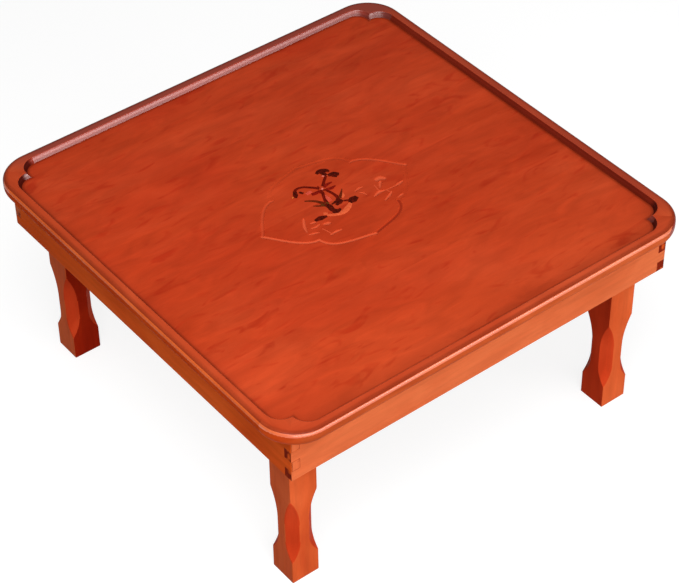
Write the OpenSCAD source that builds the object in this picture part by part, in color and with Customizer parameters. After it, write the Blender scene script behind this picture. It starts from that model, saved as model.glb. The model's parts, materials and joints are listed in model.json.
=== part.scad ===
// Low square table with a tray top, a finger-jointed apron and four folding legs.
// Millimetres. The origin lies on the floor under the middle of the top, with +Z up.

/* [Table] */
// Length of the top along X
table_length = 600; // [560:5:900]
// Width of the top along Y
table_width = 600; // [560:5:900]
// Height from the floor to the top of the rim
table_height = 288; // [260:2:320]

/* [Rim and tray] */
// Height of the rim
rim_height = 22; // [20:1:30]
// Width of the rim along the sides, seen from above
rim_width = 14; // [10:0.5:18]
// Radius of the outer corners of the top
corner_radius = 49; // [44:1:60]
// Round on the upper outer edge of the rim
upper_round = 5; // [2:0.5:7]
// Round on the lower outer edge of the rim
lower_round = 12; // [6:1:14]
// Round on the inner edge of the rim
inner_round = 2; // [0.5:0.5:3]
// Depth of the tray below the top of the rim
tray_depth = 7; // [5:0.5:12]
// Distance by which the tray's wall leans out from its foot to its top
tray_slope = 3; // [1:0.5:5]
// Radius of the two lobes in each corner of the tray
lobe_radius = 21; // [12:1:26]

/* [Panel] */
// Thickness of the tongue round the edge of the panel
tongue_thickness = 5; // [3:0.5:6]
// Depth of the groove in the rim that takes the tongue
groove_depth = 3.5; // [2:0.5:5]
// Gap between the tongue and the bottom of its groove
tongue_gap = 0.5; // [0.2:0.1:1]
// Gap between the panel and the lip of the rim under the tongue
lip_gap = 0.3; // [0.1:0.1:0.6]

/* [Apron] */
// Height of the apron boards
apron_height = 59; // [48:1:80]
// Thickness of the apron boards
apron_thickness = 12; // [9:1:16]
// Distance from the edge of the top to the outer face of the apron
apron_inset = 20; // [14:1:30]
// Number of fingers in the height of a corner joint
finger_count = 4; // [2:2:8]
// Gap between neighbouring fingers
finger_gap = 0.1; // [0.05:0.05:0.3]
// Round on the outer edges of the apron
apron_round = 1.2; // [0.5:0.1:3]

/* [Legs] */
// Width of a square leg
leg_width = 38; // [30:1:46]
// Depth of the chamfers at the waist of a leg, square to their faces
chamfer_depth = 8.6; // [4:0.1:10]
// Height above the floor at which the chamfers begin
chamfer_start = 34; // [20:1:50]
// Length of the curved lower end of a chamfer
lower_run = 30; // [15:1:40]
// Length of the straight middle of a chamfer
straight_run = 28; // [10:1:50]
// Length of the curved upper end of a chamfer
upper_run = 45; // [20:1:60]
// Room between a leg and the apron board towards which its foot never swings
swing_room = 16.5; // [14:0.5:30]
// Gap between the top of a leg and its bracket
leg_top_gap = 0.3; // [0.2:0.1:1]
// Gap between a leg and the washers beside it
leg_side_gap = 0.3; // [0.2:0.1:0.6]

/* [Hinges] */
// Thickness of the bracket's steel
bracket_steel = 2; // [1.5:0.5:3]
// Inner radius of the bracket's bends
bend_radius = 1; // [0.5:0.5:2]
// Depth of the bracket's flanges, with the plate
flange_depth = 8; // [6:1:10]
// Length of the bracket's plate beyond the leg on the side to which it folds
fold_reach = 30; // [24:1:50]
// Gap between the plate's other end and the apron
plate_end_gap = 3.5; // [1:0.5:5]
// Radius of the ears about the pin
ear_radius = 11; // [9:0.5:13]
// Half width of the ears where they leave the flanges
ear_root = 22; // [18:1:30]
// Height above the pin at which the ears begin to widen
ear_shoulder = 5; // [2:1:9]
// Diameter of the pivot pin
pin_diameter = 6; // [5:0.5:8]
// Radial clearance of the pivot pin in its bores
pin_clearance = 0.05; // [0.02:0.01:0.1]
// Diameter of the pin's heads
pin_head_diameter = 11; // [10:0.5:14]
// Thickness of the pin's heads
pin_head_height = 1.2; // [0.8:0.1:2]
// Gap between a pin's head and the apron
pin_head_gap = 0.5; // [0.3:0.1:2]
// Diameter of the washers between bracket and leg
washer_diameter = 14; // [12:0.5:18]
// Thickness of the washers between bracket and leg
washer_thickness = 1; // [0.5:0.1:1.5]

/* [Underside] */
// Thickness of the mounting blocks
block_thickness = 6; // [4:0.5:10]
// Distance that a mounting block reaches beyond its bracket
block_margin = 4; // [2:1:12]
// Width of the battens
batten_width = 24; // [16:1:40]
// Height of the battens
batten_height = 14; // [11:1:18]
// Distance between the middles of the two battens
batten_spacing = 200; // [140:5:240]
// Room between a batten's end and a folded leg
batten_end_room = 20; // [8:1:60]
// Length of the slope at a batten's end
batten_slope = 8; // [4:1:10]
// Length of the two short sides of a glue block's section
glue_block_side = 12; // [8:1:20]
// Length of a glue block
glue_block_length = 40; // [25:1:44]
// Room between the glue blocks and the leg and block beside them
glue_block_room = 10; // [5:1:14]

/* [Screws] */
// Diameter of the screws
screw_diameter = 3; // [2.5:0.5:4]
// Diameter of the screws' countersunk heads
screw_head_diameter = 6; // [5.5:0.5:6.5]
// Length of the bracket screws
bracket_screw_length = 14; // [11:1:16]
// Distance between the two bracket screws of a row
bracket_screw_spacing = 22; // [14:1:28]
// Length of the batten screws
batten_screw_length = 20; // [17:1:22]
// Distance between a batten's end and its outer screws
batten_screw_inset = 30; // [20:1:60]
// Radial clearance of the screws in the wood
screw_clearance = 0.05; // [0.02:0.01:0.1]
// Radial clearance of the screws in the steel
plate_hole_clearance = 0.2; // [0.1:0.05:0.4]

/* [Hidden] */
$fn = 96;

// Distance that a cutter reaches past the face that it opens
past = 1;

// Levels above the floor
rim_bottom = table_height - rim_height;
tray_floor = table_height - tray_depth;
tongue_bottom = tray_floor - tongue_thickness;
apron_bottom = rim_bottom - apron_height;
plate_top = rim_bottom - block_thickness;
plate_bottom = plate_top - bracket_steel;
leg_height = plate_bottom - leg_top_gap;
pivot_height = leg_height - leg_width / 2;

// Distances from the edge of the top
apron_inner = apron_inset + apron_thickness;
side_room = leg_side_gap + washer_thickness + bracket_steel + pin_head_height + pin_head_gap;
leg_x = apron_inner + side_room + leg_width / 2;
leg_y = apron_inner + swing_room + leg_width / 2;
groove_bottom = rim_width - groove_depth;
tongue_edge = groove_bottom + tongue_gap;

// Centre of a lobe of the tray, from the edge of its side and from the side's end
lobe_x = rim_width + lobe_radius;
lobe_y = rim_width + 2 * lobe_radius;

// Half widths across a hinge
cheek_inner = leg_width / 2 + leg_side_gap + washer_thickness;
cheek_outer = cheek_inner + bracket_steel;

// Ends of the bracket's plate and of the mounting block, along the fold from the leg's middle
plate_start = plate_end_gap - swing_room - leg_width / 2;
plate_end = leg_width / 2 + fold_reach;
block_end = plate_end + block_margin;

// The four corners, going round from the front left; side n runs from corner n to corner n + 1
corner_x = [-table_length / 2, -table_length / 2, table_length / 2, table_length / 2];
corner_y = [-table_width / 2, table_width / 2, table_width / 2, -table_width / 2];
side_length = [table_width, table_length, table_width, table_length];

// Puts children at a corner: there +Y runs along the side that the leg folds to, +X leads inwards
module at_corner(n) {
  translate([corner_x[n], corner_y[n], 0])
    rotate([0, 0, -90 * n])
      children();
}

// Puts children at the foot of a leg's axis
module at_leg(n) {
  at_corner(n)
    translate([leg_x, leg_y, 0])
      children();
}

// What a round of radius r takes off an outer corner, drawn from the round's centre
module round_off(r) {
  difference() {
    square(r + past);
    circle(r);
  }
}

// Section through the edge of the top, from the corner's centre out, with its two rounds
module rim_section() {
  difference() {
    square([corner_radius, rim_height]);
    translate([corner_radius - upper_round, rim_height - upper_round])
      round_off(upper_round);
    translate([corner_radius - lower_round, lower_round])
      mirror([0, 1])
        round_off(lower_round);
  }
}

// Section through the tray's leaning wall, from a lobe's centre out
module wall_section(inwards) {
  polygon([[-inwards, 0], [lobe_radius - tray_slope, 0], [lobe_radius, tray_depth - inner_round],
    [lobe_radius, tray_depth + past], [-inwards, tray_depth + past]]);
}

// Section through the round edge above that wall
module edge_section(inwards) {
  difference() {
    translate([-inwards, tray_depth - inner_round])
      square([inwards + lobe_radius + inner_round, inner_round + past]);
    translate([lobe_radius + inner_round, tray_depth - inner_round])
      circle(inner_round);
  }
}

// Sweeps a section of the tray along the straight stretch of one side
module along_side(side) {
  translate([lobe_x, side - lobe_y, tray_floor])
    rotate([90, 0, 0])
      linear_extrude(side - 2 * lobe_y)
        mirror([1, 0])
          children();
}

// Turns a section of the tray about the lobes at both ends of one side
module round_lobes(side) {
  for (y = [lobe_y, side - lobe_y])
    translate([lobe_x, y, tray_floor])
      rotate_extrude()
        children();
}

// The tray as one rail sees it: a straight wall that ends in a lobe at each corner
module tray_cut(side) {
  along_side(side)
    wall_section(corner_radius);
  round_lobes(side)
    wall_section(0);
  translate([lobe_x + lobe_radius / 2, -past, tray_floor])
    cube([corner_radius, side + 2 * past, tray_depth + past]);
}

// The round on the rim's inner edge, along the same line
module edge_cut(side) {
  along_side(side)
    edge_section(corner_radius);
  round_lobes(side)
    edge_section(0);
}

// The groove for the panel's tongue, round the same centres as the outer corners
module groove_cut(side) {
  translate([groove_bottom, corner_radius, tongue_bottom])
    cube([corner_radius, side - 2 * corner_radius, tongue_thickness]);
  for (y = [corner_radius, side - corner_radius])
    translate([corner_radius, y, tongue_bottom])
      cylinder(r = corner_radius - groove_bottom, h = tongue_thickness);
}

// One rail of the rim, with mitred ends
module rim_rail(n) {
  side = side_length[n];
  color([0.76, 0.30, 0.17])
    at_corner(n)
      difference() {
        intersection() {
          union() {
            translate([corner_radius, side - corner_radius, rim_bottom])
              rotate([90, 0, 0])
                linear_extrude(side - 2 * corner_radius)
                  mirror([1, 0])
                    rim_section();
            for (y = [corner_radius, side - corner_radius])
              translate([corner_radius, y, rim_bottom])
                rotate_extrude()
                  rim_section();
          }
          translate([0, 0, rim_bottom - past])
            linear_extrude(rim_height + 2 * past)
              polygon([[-past, -past], [-past, side + past],
                [corner_radius, side - corner_radius], [corner_radius, corner_radius]]);
        }
        tray_cut(side);
        edge_cut(side);
        groove_cut(side);
        translate([apron_inner, -past, rim_bottom - past])
          cube([corner_radius, side + 2 * past, tongue_bottom - rim_bottom + past]);
      }
}

// A flat plate with round corners, centred on the origin
module round_plate(length, width, radius, thickness) {
  linear_extrude(thickness) {
    square([length, width - 2 * radius], center = true);
    square([length - 2 * radius, width], center = true);
    for (x = [-1, 1], y = [-1, 1])
      translate([x * (length / 2 - radius), y * (width / 2 - radius)])
        circle(radius);
  }
}

// The board of the tray: a full plate between the rim's lips, with a thinner tongue round it
module top_panel() {
  plate_inset = apron_inner + lip_gap;
  color([0.72, 0.24, 0.13])
    difference() {
      union() {
        translate([0, 0, tongue_bottom])
          round_plate(table_length - 2 * tongue_edge, table_width - 2 * tongue_edge,
            corner_radius - tongue_edge, tongue_thickness);
        translate([plate_inset - table_length / 2, plate_inset - table_width / 2, rim_bottom])
          cube([table_length - 2 * plate_inset, table_width - 2 * plate_inset,
            tongue_bottom - rim_bottom]);
      }
      bracket_screw_holes();
      batten_screw_holes();
    }
}

// The space that the apron's outer faces and rounded edges enclose, seen from one side
module apron_envelope(side) {
  depth = apron_thickness;
  run = side - 2 * apron_inset;
  intersection() {
    translate([0, run, 0])
      rotate([90, 0, 0])
        linear_extrude(run)
          difference() {
            square([depth, apron_height]);
            translate([apron_round, apron_round])
              rotate(180)
                round_off(apron_round);
          }
    linear_extrude(apron_height)
      difference() {
        square([depth, run]);
        for (end = [0, 1])
          translate([apron_round, end == 0 ? apron_round : run - apron_round])
            rotate(end == 0 ? 180 : 90)
              round_off(apron_round);
      }
    rotate([90, 0, 90])
      linear_extrude(depth)
        difference() {
          square([run, apron_height]);
          for (end = [0, 1])
            translate([end == 0 ? apron_round : run - apron_round, apron_round])
              rotate(end == 0 ? 180 : 270)
                round_off(apron_round);
        }
  }
}

// One apron board; its two ends are notched at alternate levels, so the four boards are alike
module apron_board(n) {
  side = side_length[n];
  run = side - 2 * apron_inset;
  finger_height = apron_height / finger_count;
  color([0.70, 0.30, 0.15])
    at_corner(n)
      translate([apron_inset, apron_inset, apron_bottom])
        difference() {
          apron_envelope(side);
          for (end = [0, 1], level = [end : 2 : finger_count - 1])
            translate([-past, end == 0 ? -past : run - apron_thickness,
              level * finger_height - finger_gap / 2])
              cube([apron_thickness + 2 * past, apron_thickness + past,
                finger_height + finger_gap]);
        }
}

// Radius of the arc that ends a chamfer, to a hundredth
function run_radius(run) =
  round(50 * (run * run + chamfer_depth * chamfer_depth) / chamfer_depth) / 100;

// What a chamfer takes off a leg, as distance out from the leg's edge against height
module chamfer_outline() {
  low = chamfer_start + lower_run;
  high = low + straight_run;
  translate([-chamfer_depth, low])
    square([chamfer_depth + past, straight_run]);
  for (end = [[low, lower_run, -1], [high, upper_run, 0]])
    intersection() {
      translate([run_radius(end[1]) - chamfer_depth, end[0]])
        circle(run_radius(end[1]));
      translate([-chamfer_depth, end[0] + end[2] * 2 * end[1]])
        square([chamfer_depth + past, 2 * end[1]]);
    }
}

// A leg: square at its top towards the stop, round about the pin towards the fold
module leg(n) {
  half = leg_width / 2;
  color([0.70, 0.26, 0.14])
    at_leg(n)
      difference() {
        union() {
          translate([-half, -half, 0])
            cube([leg_width, leg_width, pivot_height]);
          translate([-half, -half, 0])
            cube([leg_width, half, leg_height]);
          translate([-half, 0, pivot_height])
            rotate([0, 90, 0])
              cylinder(r = half, h = leg_width);
        }
        pin_bore(leg_width);
        for (turn = [45 : 90 : 315])
          rotate([0, 0, turn])
            translate([sqrt(2) * half, 0, 0])
              rotate([90, 0, 0])
                linear_extrude(2 * chamfer_depth + 2 * past, center = true)
                  chamfer_outline();
      }
}

// The pin's bore, across the leg or the bracket
module pin_bore(across) {
  translate([-across / 2 - past, 0, pivot_height])
    rotate([0, 90, 0])
      cylinder(r = pin_diameter / 2 + pin_clearance, h = across + 2 * past);
}

// A rectangle with round upper corners, open to both sides of x = 0
module channel_outline(half, height, radius) {
  difference() {
    translate([-half, -height])
      square([2 * half, height]);
    for (side = [0, 1])
      mirror([side, 0])
        translate([half - radius, -radius])
          round_off(radius);
  }
}

// Both ears of a bracket: a wide root that slopes in to a straight tab, round about the pin
module bracket_ears() {
  root_height = plate_top - flange_depth / 2 - pivot_height;
  for (x = [-cheek_outer, cheek_inner])
    translate([x, 0, pivot_height])
      rotate([90, 0, 90])
        linear_extrude(bracket_steel) {
          circle(ear_radius);
          polygon([[-ear_root, root_height], [-ear_radius, ear_shoulder], [-ear_radius, 0],
            [ear_radius, 0], [ear_radius, ear_shoulder], [ear_root, root_height]]);
        }
}

// A hinge bracket, folded from sheet steel into a channel with two ears
module hinge_bracket(n) {
  color([0.62, 0.63, 0.65])
    at_leg(n)
      difference() {
        union() {
          translate([0, plate_end, plate_top])
            rotate([90, 0, 0])
              linear_extrude(plate_end - plate_start)
                difference() {
                  channel_outline(cheek_outer, flange_depth, bend_radius + bracket_steel);
                  translate([0, -bracket_steel])
                    channel_outline(cheek_inner, flange_depth, bend_radius);
                }
          bracket_ears();
        }
        pin_bore(2 * cheek_outer);
        at_bracket_screws()
          screw_shape(screw_diameter / 2 + plate_hole_clearance,
            screw_head_diameter / 2 + plate_hole_clearance, bracket_screw_length);
      }
}

// A pivot pin, riveted over at both ends
module pivot_pin(n) {
  color([0.72, 0.72, 0.72])
    at_leg(n)
      translate([0, 0, pivot_height])
        rotate([0, 90, 0]) {
          cylinder(r = pin_diameter / 2, h = 2 * cheek_outer, center = true);
          for (end = [0, 1])
            mirror([0, 0, end])
              translate([0, 0, cheek_outer])
                cylinder(r1 = pin_head_diameter / 2, r2 = pin_head_diameter / 2 - pin_head_height,
                  h = pin_head_height);
        }
}

// The washers between the brackets and the legs
module pivot_washers() {
  color([0.80, 0.78, 0.70])
    for (n = [0 : 3])
      at_leg(n)
        for (x = [-cheek_inner, cheek_inner - washer_thickness])
          translate([x, 0, pivot_height])
            rotate([0, 90, 0])
              difference() {
                cylinder(r = washer_diameter / 2, h = washer_thickness);
                translate([0, 0, -past])
                  cylinder(r = pin_diameter / 2 + pin_clearance, h = washer_thickness + 2 * past);
              }
}

// A mounting block, set into the corner of the apron between the bracket and the panel
module mounting_block(n) {
  across = cheek_outer + block_margin;
  color([0.72, 0.56, 0.38])
    difference() {
      at_corner(n)
        translate([apron_inner, apron_inner, plate_top])
          cube([leg_x + across - apron_inner, leg_y + block_end - apron_inner, block_thickness]);
      bracket_screw_holes();
    }
}

// Puts children at the four screws of one bracket, on the plate's lower face
module at_bracket_screws() {
  half = leg_width / 2;
  for (x = [-1, 1], y = [(plate_start - half) / 2, (plate_end + half) / 2])
    translate([x * bracket_screw_spacing / 2, y, plate_bottom])
      children();
}

// Puts children at the three screws of each batten, on the batten's lower face
module at_batten_screws() {
  for (x = [-1, 1], y = [-1, 0, 1])
    translate([x * batten_spacing / 2, y * (batten_length() / 2 - batten_screw_inset),
      rim_bottom - batten_height])
      children();
}

// A countersunk screw, or the hole for one, with its head down and its point up
module screw_shape(shank_radius, head_radius, length) {
  cylinder(r = shank_radius, h = length);
  cylinder(r1 = head_radius, r2 = shank_radius, h = head_radius - shank_radius);
}

// Holes in the wood for the bracket screws
module bracket_screw_holes() {
  for (n = [0 : 3])
    at_leg(n)
      at_bracket_screws()
        cylinder(r = screw_diameter / 2 + screw_clearance,
          h = bracket_screw_length + screw_clearance);
}

// Holes in the wood for the batten screws, countersunk at the batten's lower face
module batten_screw_holes() {
  at_batten_screws()
    screw_shape(screw_diameter / 2 + screw_clearance,
      screw_head_diameter / 2 + screw_clearance, batten_screw_length + screw_clearance);
}

// The bracket screws
module bracket_screws() {
  color([0.70, 0.70, 0.72])
    for (n = [0 : 3])
      at_leg(n)
        at_bracket_screws()
          screw_shape(screw_diameter / 2, screw_head_diameter / 2, bracket_screw_length);
}

// The batten screws
module batten_screws() {
  color([0.70, 0.70, 0.72])
    at_batten_screws()
      screw_shape(screw_diameter / 2, screw_head_diameter / 2, batten_screw_length);
}

// A batten stops clear of the legs when they lie folded along the aprons
function batten_length() =
  table_width - 2 * (apron_inner + side_room + leg_width + batten_end_room);

// A batten under the panel, with its lower corners sloped off at the ends
module batten(side) {
  half = batten_length() / 2;
  color([0.72, 0.56, 0.38])
    difference() {
      translate([side * batten_spacing / 2 - batten_width / 2, 0, rim_bottom])
        rotate([90, 0, 90])
          linear_extrude(batten_width)
            polygon([[-half, 0], [-half, batten_slope - batten_height],
              [batten_slope - half, -batten_height], [half - batten_slope, -batten_height],
              [half, batten_slope - batten_height], [half, 0]]);
      batten_screw_holes();
    }
}

// Two glue blocks on each side, in the stretch between the folded leg and the next bracket
module glue_blocks() {
  leg_swing = sqrt(pivot_height * pivot_height + leg_width * leg_width / 4);
  start = leg_y + leg_swing + glue_block_room;
  block_edge = leg_x + cheek_outer + block_margin + glue_block_room;
  color([0.72, 0.56, 0.38])
    for (n = [0 : 3], step = [0, 1]) {
      stretch = side_length[n] - block_edge - start;
      middle = start + stretch * (0.25 + 0.5 * step);
      at_corner(n)
        translate([apron_inner, middle + glue_block_length / 2, rim_bottom])
          rotate([90, 0, 0])
            linear_extrude(glue_block_length)
              polygon([[0, 0], [0, -glue_block_side], [glue_block_side, 0]]);
    }
}

rim_rail(0);  // rim_left
rim_rail(1);  // rim_back
rim_rail(2);  // rim_right
rim_rail(3);  // rim_front
top_panel();
apron_board(0);  // apron_left
apron_board(1);  // apron_back
apron_board(2);  // apron_right
apron_board(3);  // apron_front
leg(0);  // leg_front_left
leg(1);  // leg_back_left
leg(2);  // leg_back_right
leg(3);  // leg_front_right
hinge_bracket(0);  // hinge_bracket_front_left
hinge_bracket(1);  // hinge_bracket_back_left
hinge_bracket(2);  // hinge_bracket_back_right
hinge_bracket(3);  // hinge_bracket_front_right
pivot_pin(0);  // pivot_pin_front_left
pivot_pin(1);  // pivot_pin_back_left
pivot_pin(2);  // pivot_pin_back_right
pivot_pin(3);  // pivot_pin_front_right
pivot_washers();
mounting_block(0);  // mounting_block_front_left
mounting_block(1);  // mounting_block_back_left
mounting_block(2);  // mounting_block_back_right
mounting_block(3);  // mounting_block_front_right
batten(-1);  // batten_left
batten(1);  // batten_right
glue_blocks();
bracket_screws();
batten_screws();
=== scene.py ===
import json
import math

import bmesh
import bpy
from mathutils import Matrix, Vector
from mathutils.geometry import interpolate_bezier
from mathutils.kdtree import KDTree

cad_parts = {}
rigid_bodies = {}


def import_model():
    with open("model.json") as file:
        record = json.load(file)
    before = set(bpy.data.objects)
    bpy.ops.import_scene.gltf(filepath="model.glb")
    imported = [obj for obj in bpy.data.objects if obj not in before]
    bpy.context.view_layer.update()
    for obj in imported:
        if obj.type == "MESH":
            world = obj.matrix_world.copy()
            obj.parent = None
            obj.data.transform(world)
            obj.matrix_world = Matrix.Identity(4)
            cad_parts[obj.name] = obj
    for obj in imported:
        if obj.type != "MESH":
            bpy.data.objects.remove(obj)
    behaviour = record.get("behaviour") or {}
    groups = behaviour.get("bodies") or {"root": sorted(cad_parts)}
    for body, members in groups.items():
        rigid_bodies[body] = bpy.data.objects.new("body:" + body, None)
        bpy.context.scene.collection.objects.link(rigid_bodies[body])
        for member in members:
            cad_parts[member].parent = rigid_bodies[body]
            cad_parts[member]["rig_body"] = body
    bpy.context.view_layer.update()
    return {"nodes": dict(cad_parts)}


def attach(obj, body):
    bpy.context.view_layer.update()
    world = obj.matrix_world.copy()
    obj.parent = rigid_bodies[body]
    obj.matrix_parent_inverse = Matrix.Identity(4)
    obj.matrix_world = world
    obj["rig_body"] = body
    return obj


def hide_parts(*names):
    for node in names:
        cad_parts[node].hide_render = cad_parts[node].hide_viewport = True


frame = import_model()
nodes = frame["nodes"]
scene = bpy.context.scene
scene.view_settings.view_transform = "Standard"
print("frame loaded,", len(nodes), "nodes")

mm = 0.001
sharp = 32  # degrees, from which an edge shows as an edge
tolerance = {"merge": 0.002 * mm, "cut": 0.0001 * mm, "flat": 0.5}  # the last one in degrees


def mergedCopy(*nodeNames):
    # the loose triangles of these nodes as one mesh with whole faces
    bm = bmesh.new()
    for nodeName in nodeNames:
        bm.from_mesh(nodes[nodeName].data)
    bmesh.ops.remove_doubles(bm, verts=bm.verts, dist=tolerance["merge"])
    flat = math.radians(tolerance["flat"])
    bmesh.ops.dissolve_limit(bm, angle_limit=flat, verts=bm.verts, edges=bm.edges)
    return bm


def cutFaces(bm, faces, place, normal):
    # cuts these faces alone along a plane, and gives back all that they became
    parts = dict.fromkeys(part for face in faces for part in (face, *face.edges, *face.verts))
    cut = bmesh.ops.bisect_plane(bm, geom=list(parts), dist=tolerance["cut"], plane_co=place, plane_no=normal)
    return [part for part in cut["geom"] if isinstance(part, bmesh.types.BMFace)]


def cutRectangle(bm, faces, centre, halves):
    # cuts the faces along the four sides of a rectangle, given by its centre and half sizes
    for axis in (0, 1):
        for side in (-1, 1):
            place, normal = Vector(), Vector()
            place[axis] = centre[axis] + side * halves[axis]
            normal[axis] = 1
            faces = cutFaces(bm, faces, place, normal)
    return faces


def smoothByAngle(bm, degrees=sharp):
    for face in bm.faces:
        face.smooth = True
    for edge in bm.edges:
        edge.smooth = edge.calc_face_angle(0) < math.radians(degrees)


def addObject(name, data):
    added = bpy.data.objects.new(name, data)
    scene.collection.objects.link(added)
    return added


def addPiece(name, bm, materials, body, replaced=()):
    mesh = bpy.data.meshes.new(name)
    bm.to_mesh(mesh)
    bm.free()
    if "custom_normal" in mesh.attributes:  # left from the CAD mesh, and no longer true
        mesh.attributes.remove(mesh.attributes["custom_normal"])
    for material in materials:
        mesh.materials.append(material)
    piece = addObject(name, mesh)
    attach(piece, body)
    if replaced:
        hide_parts(*replaced)
    return piece


def softenEdges(piece, width, segments):
    bevel = piece.modifiers.new("softEdges", "BEVEL")
    bevel.width = width
    bevel.segments = segments
    bevel.limit_method = "ANGLE"
    bevel.angle_limit = math.radians(sharp)
    bevel.harden_normals = True


def screenColour(red, green, blue):
    # from 0..255 as it looks on a screen to the linear values that the nodes want
    return [((value / 255 + 0.055) / 1.055) ** 2.4 for value in (red, green, blue)] + [1.0]


def startMaterial(name, roughness, specular=0.5, metallic=0.0, ior=1.5):
    material = bpy.data.materials.new(name)
    material.use_nodes = True
    tree = material.node_tree
    shader = tree.nodes["Principled BSDF"]
    shader.inputs["Roughness"].default_value = roughness
    shader.inputs["Specular IOR Level"].default_value = specular
    shader.inputs["Metallic"].default_value = metallic
    shader.inputs["IOR"].default_value = ior
    return material, tree, shader


def addNode(tree, kind, inputs, **settings):
    node = tree.nodes.new(kind)
    for setting, value in settings.items():
        setattr(node, setting, value)
    for socket, value in inputs.items():
        if isinstance(value, bpy.types.NodeSocket):
            tree.links.new(value, node.inputs[socket])
        else:
            node.inputs[socket].default_value = value
    return node


def calculate(tree, operation, first, second=0.0):
    return addNode(tree, "ShaderNodeMath", {0: first, 1: second}, operation=operation).outputs[0]


def mapRange(tree, value, low, high, toLow=0.0, toHigh=1.0):
    node = addNode(tree, "ShaderNodeMapRange", {
        "Value": value, "From Min": low, "From Max": high, "To Min": toLow, "To Max": toHigh})
    return node.outputs[0]


def objectPlace(tree):
    return addNode(tree, "ShaderNodeTexCoord", {}).outputs["Object"]


def splitPlace(tree, place):
    # x and y of a place, then both without their sign
    split = addNode(tree, "ShaderNodeSeparateXYZ", {"Vector": place})
    x, y = split.outputs[0], split.outputs[1]
    return x, y, calculate(tree, "ABSOLUTE", x), calculate(tree, "ABSOLUTE", y)


def grainNoise(tree, place, axis, scale, stretch, detail=3.0, distortion=0.0, turn=0.0):
    # noise drawn out along one axis of the piece, as grain is
    scales = [stretch, stretch, stretch]
    scales["xyz".index(axis)] = 1.0
    turned = addNode(tree, "ShaderNodeMapping", {"Vector": place, "Rotation": (0, 0, turn)})
    mapped = addNode(tree, "ShaderNodeMapping", {"Vector": turned.outputs[0], "Scale": scales})
    noise = addNode(tree, "ShaderNodeTexNoise", {
        "Vector": mapped.outputs[0], "Scale": scale, "Detail": detail, "Distortion": distortion})
    return noise.outputs["Fac"]


def ramp(tree, factor, stops):
    # stops are pairs of a place from 0 to 1 and a colour from 0 to 255
    node = addNode(tree, "ShaderNodeValToRGB", {"Fac": factor})
    elements = node.color_ramp.elements
    while len(elements) < len(stops):
        elements.new(0.5)
    for element, (place, colour) in zip(elements, stops):
        element.position = place
        element.color = screenColour(*colour)
    return node.outputs["Color"]


def mixColour(tree, factor, first, second):
    return addNode(tree, "ShaderNodeMix", {0: factor, 6: first, 7: second}, data_type="RGBA").outputs[2]


# lays one colour over another: a real stain, painted light or painted shade
def stainOrLightOver(tree, amount, colour, tint):
    return mixColour(tree, amount, colour, screenColour(*tint))


def scaleColour(tree, colour, amount):
    return addNode(tree, "ShaderNodeVectorMath", {"Vector": colour, "Scale": amount},
                   operation="SCALE").outputs["Vector"]


def addBump(tree, shader, height, strength, distance):
    bump = addNode(tree, "ShaderNodeBump", {"Height": height, "Strength": strength, "Distance": distance})
    tree.links.new(bump.outputs[0], shader.inputs["Normal"])


def edgeDistance(tree, place, acrossStart, alongStart, radius):
    # distance to an outline of straight sides whose corners are rounded about the given centre
    _, _, x, y = splitPlace(tree, place)
    squares = []
    for choice, start in (("MAXIMUM", acrossStart), ("MINIMUM", alongStart)):
        reached = calculate(tree, "MAXIMUM", calculate(tree, choice, x, y), start)
        squares.append(calculate(tree, "POWER", calculate(tree, "SUBTRACT", reached, start), 2.0))
    return calculate(tree, "SUBTRACT", radius, calculate(tree, "SQRT", calculate(tree, "ADD", *squares)))
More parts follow.
